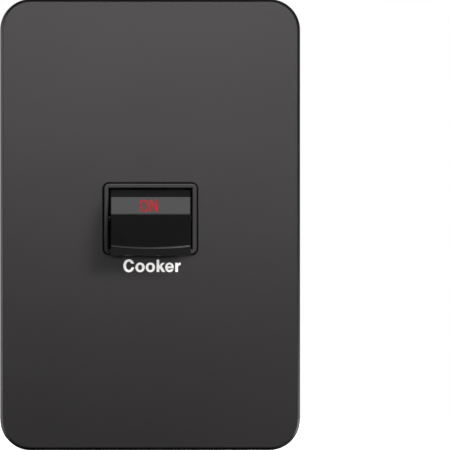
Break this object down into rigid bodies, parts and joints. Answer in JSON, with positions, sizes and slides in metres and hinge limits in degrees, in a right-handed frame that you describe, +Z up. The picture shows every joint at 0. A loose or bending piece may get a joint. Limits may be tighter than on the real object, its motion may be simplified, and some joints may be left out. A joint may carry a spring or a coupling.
{
  "type": "cooker switch",
  "caption": "Tall screwless wall plate with a black rocker for a cooker circuit, backed by a steel frame and a double-pole switch module with clamp terminals.",
  "frame": {"origin": "centre of the plate on the wall plane, midway between the two fixing holes", "axes": "+Z up the plate, -Y out of the wall towards the user, +X to the right seen from the front"},
  "size_m": [0.0976, 0.0397, 0.147],
  "materials": {
    "plate_coat": "matt anthracite powder coat",
    "surround_plastic": "satin dark grey moulding",
    "rocker_plastic": "semi-gloss black moulding",
    "housing_plastic": "matt black thermoset",
    "zinc_steel": "bright zinc plate",
    "spring_steel": "bare spring steel",
    "nylon": "natural nylon",
    "copper": "rolled copper",
    "silver": "silver contact face",
    "brass": "machined brass"
  },
  "bodies": {
    "base": {"front_plate": "plate_coat", "rocker_surround": "surround_plastic", "switch_housing": "housing_plastic", "rear_cover": "housing_plastic", "mounting_frame": "zinc_steel", "housing_screws": "zinc_steel", "cover_screws": "zinc_steel", "plate_clips": "spring_steel", "fixed_tip_live": "silver", "fixed_tip_neutral": "silver", "fixed_contact_live": "brass", "fixed_contact_neutral": "brass", "fulcrum_live": "brass", "fulcrum_neutral": "brass", "supply_terminal_live": "brass", "supply_terminal_neutral": "brass", "load_terminal_live": "brass", "load_terminal_neutral": "brass", "supply_screws": "brass", "load_screws": "brass", "earth_terminal": "brass", "earth_screw": "brass"},
    "rocker": {"rocker": "rocker_plastic", "plunger_spring_live": "spring_steel", "plunger_spring_neutral": "spring_steel"},
    "plunger_live": {"plunger_live": "nylon"},
    "plunger_neutral": {"plunger_neutral": "nylon"},
    "contact_live": {"moving_contact_live": "copper", "moving_tip_live": "silver"},
    "contact_neutral": {"moving_contact_neutral": "copper", "moving_tip_neutral": "silver"}
  },
  "joints": [
    {"name": "rocker_tilt", "type": "hinge", "parent": "base", "child": "rocker", "pos_m": [0, 0.0002, 0.0019], "axis": [1, 0, 0], "range_deg": [0, 14]},
    {"name": "live_plunger_slide", "type": "slide", "parent": "rocker", "child": "plunger_live", "axis": [0, -0.9925, 0.1219], "range_m": [0, 0.0012], "stiffness_N_per_m": 300, "springref_m": -0.001, "deforming": ["plunger_spring_live"]},
    {"name": "neutral_plunger_slide", "type": "slide", "parent": "rocker", "child": "plunger_neutral", "axis": [0, -0.9925, 0.1219], "range_m": [0, 0.0012], "stiffness_N_per_m": 300, "springref_m": -0.001, "deforming": ["plunger_spring_neutral"]},
    {"name": "live_contact_rock", "type": "hinge", "parent": "base", "child": "contact_live", "pos_m": [0, 0.0137, 0.0019], "axis": [1, 0, 0], "range_deg": [-16, 0]},
    {"name": "neutral_contact_rock", "type": "hinge", "parent": "base", "child": "contact_neutral", "pos_m": [0, 0.0137, 0.0019], "axis": [1, 0, 0], "range_deg": [-16, 0]}
  ],
  "couplings": [
    {"joint": "live_contact_rock", "follows": "rocker_tilt", "ratio": -1.1429},
    {"joint": "neutral_contact_rock", "follows": "rocker_tilt", "ratio": -1.1429}
  ]
}
